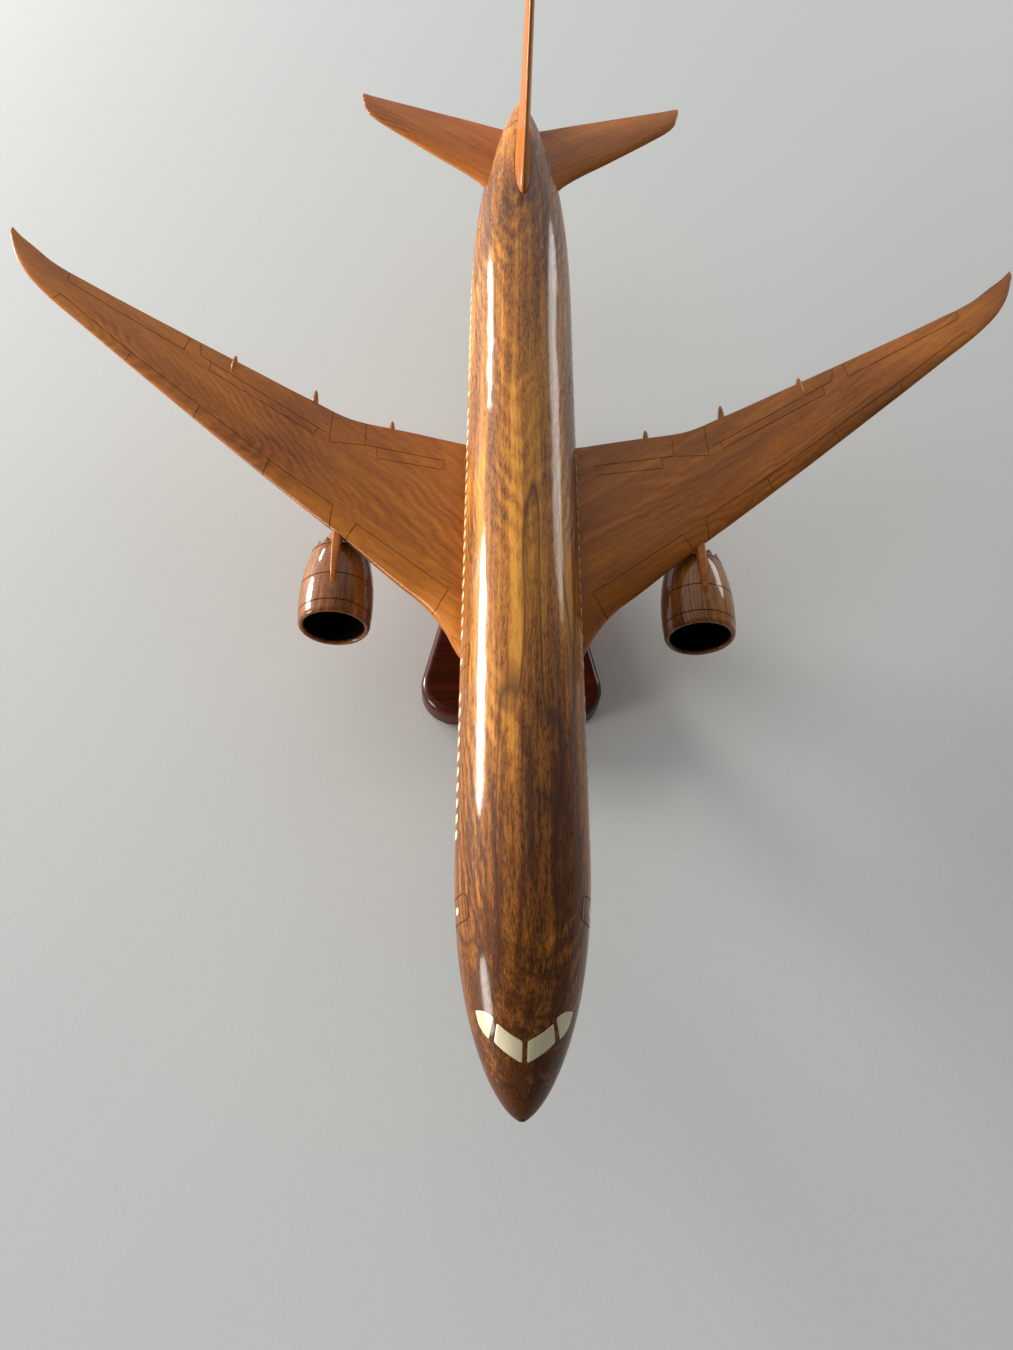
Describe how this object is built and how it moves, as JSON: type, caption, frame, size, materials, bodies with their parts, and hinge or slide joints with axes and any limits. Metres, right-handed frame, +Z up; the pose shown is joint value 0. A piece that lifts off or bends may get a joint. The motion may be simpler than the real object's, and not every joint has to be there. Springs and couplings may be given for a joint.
{
  "type": "desktop airliner model",
  "caption": "Carved wooden twin-engine airliner model that turns on and lifts off a peg in a post on a rounded wooden desk base.",
  "frame": {"origin": "bottom centre of the whole model's box: on the table, under the middle of the aircraft's length", "axes": "+Z up, the nose points to -Y, the aircraft's own left wing lies towards +X"},
  "size_m": [0.591, 0.6158, 0.221],
  "materials": {
    "hull_wood": "glossy lacquered golden-brown hardwood",
    "wing_wood": "satin lacquered red-brown hardwood",
    "engine_wood": "lacquered brown hardwood",
    "stand_wood": "glossy dark red-brown hardwood",
    "dowel_wood": "bare pale hardwood",
    "window_inlay": "cream inlay, lacquered over",
    "brass": "turned brass",
    "steel": "bright turned steel",
    "felt": "dark green felt"
  },
  "bodies": {
    "stand": {"felt_underlay": "felt", "stand_base": "stand_wood", "stand_post": "stand_wood", "post_screws": "steel", "post_bush": "brass"},
    "peg": {"peg": "steel"},
    "aircraft": {"peg_socket": "brass", "fuselage": "hull_wood", "fin": "wing_wood", "wing_left": "wing_wood", "wing_right": "wing_wood", "tailplane_left": "wing_wood", "tailplane_right": "wing_wood", "windscreen_left": "window_inlay", "windscreen_right": "window_inlay", "side_window_left": "window_inlay", "side_window_right": "window_inlay", "cabin_windows_left": "window_inlay", "cabin_windows_right": "window_inlay", "engine_cowl_left": "engine_wood", "engine_cowl_right": "engine_wood", "exhaust_core_left": "engine_wood", "exhaust_core_right": "engine_wood", "pylon_left": "wing_wood", "pylon_right": "wing_wood", "flap_fairings_left": "wing_wood", "flap_fairings_right": "wing_wood", "wing_dowels": "dowel_wood", "tailplane_dowels": "dowel_wood"}
  },
  "joints": [
    {"name": "swivel", "type": "hinge", "parent": "stand", "child": "peg", "pos_m": [0, 0.00386, 0.033], "axis": [0, 0, 1], "continuous": true},
    {"name": "lift_off", "type": "slide", "parent": "peg", "child": "aircraft", "axis": [0, 0, 1], "range_m": [0, 0.03]}
  ]
}
